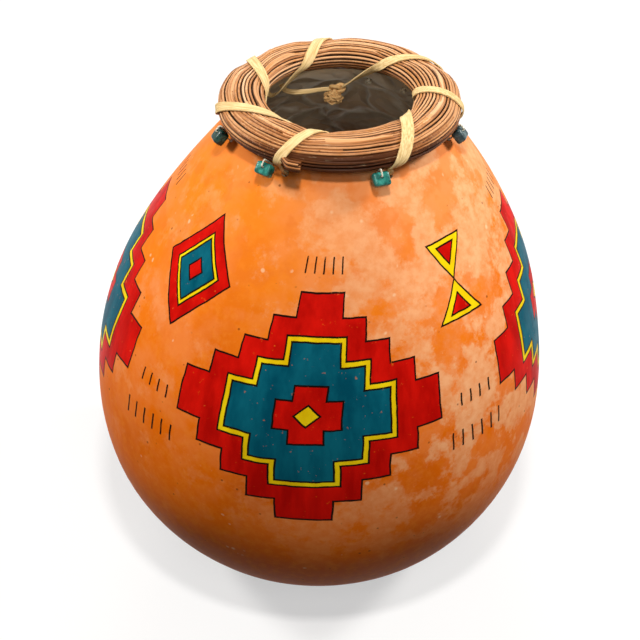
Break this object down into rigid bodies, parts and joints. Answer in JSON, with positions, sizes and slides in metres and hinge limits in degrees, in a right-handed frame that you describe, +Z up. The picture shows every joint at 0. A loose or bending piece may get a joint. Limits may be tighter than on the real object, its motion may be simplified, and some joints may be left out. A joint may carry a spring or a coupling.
{
  "type": "painted gourd vessel",
  "caption": "Round-bellied dried gourd vessel with a cut mouth, a lashed coil of wound reed as its rim and stone beads threaded below it.",
  "frame": {"origin": "centre of the flat foot, on the surface the vessel stands on", "axes": "+Z up through the vessel, -Y towards the viewer at the front, +X to the viewer's right, which is the way the neck leans"},
  "size_m": [0.2, 0.2, 0.2398],
  "materials": {
    "gourd": "stained and varnished, semi-gloss, with painted figures",
    "reed": "dry split reed, satin",
    "strip": "flat plant-fibre strip, matt",
    "stone": "tumbled opaque stone, polished",
    "thread": "waxed thread, matt"
  },
  "bodies": {
    "vessel": {"gourd_shell": "gourd", "coil_core": "reed", "coil_reeds": "reed", "coil_tail": "reed", "lashing_strip": "strip", "lashing_knot": "strip", "bead_thread_1": "thread", "bead_thread_2": "thread", "bead_thread_3": "thread", "bead_thread_4": "thread", "bead_thread_5": "thread", "bead_thread_6": "thread", "bead_thread_7": "thread"},
    "bead_1": {"bead_1": "stone"},
    "bead_2": {"bead_2": "stone"},
    "bead_3": {"bead_3": "stone"},
    "bead_4": {"bead_4": "stone"},
    "bead_5": {"bead_5": "stone"},
    "bead_6": {"bead_6": "stone"},
    "bead_7": {"bead_7": "stone"}
  },
  "joints": [
    {"name": "bead_1_turn", "type": "hinge", "parent": "vessel", "child": "bead_1", "pos_m": [0.02414, 0.04825, 0.22615], "axis": [0.2296, 0.7068, 0.6691], "range_deg": [-20, 20]},
    {"name": "bead_2_turn", "type": "hinge", "parent": "vessel", "child": "bead_2", "pos_m": [-0.03541, 0.02533, 0.22608], "axis": [-0.6436, 0.3716, 0.6691], "range_deg": [-20, 20]},
    {"name": "bead_3_turn", "type": "hinge", "parent": "vessel", "child": "bead_3", "pos_m": [-0.03985, -0.01523, 0.22608], "axis": [-0.7087, -0.2235, 0.6691], "range_deg": [-20, 20]},
    {"name": "bead_4_turn", "type": "hinge", "parent": "vessel", "child": "bead_4", "pos_m": [-0.02131, -0.04098, 0.22608], "axis": [-0.4368, -0.6012, 0.6691], "range_deg": [-20, 20]},
    {"name": "bead_5_turn", "type": "hinge", "parent": "vessel", "child": "bead_5", "pos_m": [0.02411, -0.04818, 0.22608], "axis": [0.2296, -0.7068, 0.6691], "range_deg": [-20, 20]},
    {"name": "bead_6_turn", "type": "hinge", "parent": "vessel", "child": "bead_6", "pos_m": [0.05708, -0.01394, 0.22601], "axis": [0.7144, -0.2048, 0.6691], "range_deg": [-20, 20]},
    {"name": "bead_7_turn", "type": "hinge", "parent": "vessel", "child": "bead_7", "pos_m": [0.04169, 0.03823, 0.22608], "axis": [0.4875, 0.5609, 0.6691], "range_deg": [-20, 20]}
  ]
}
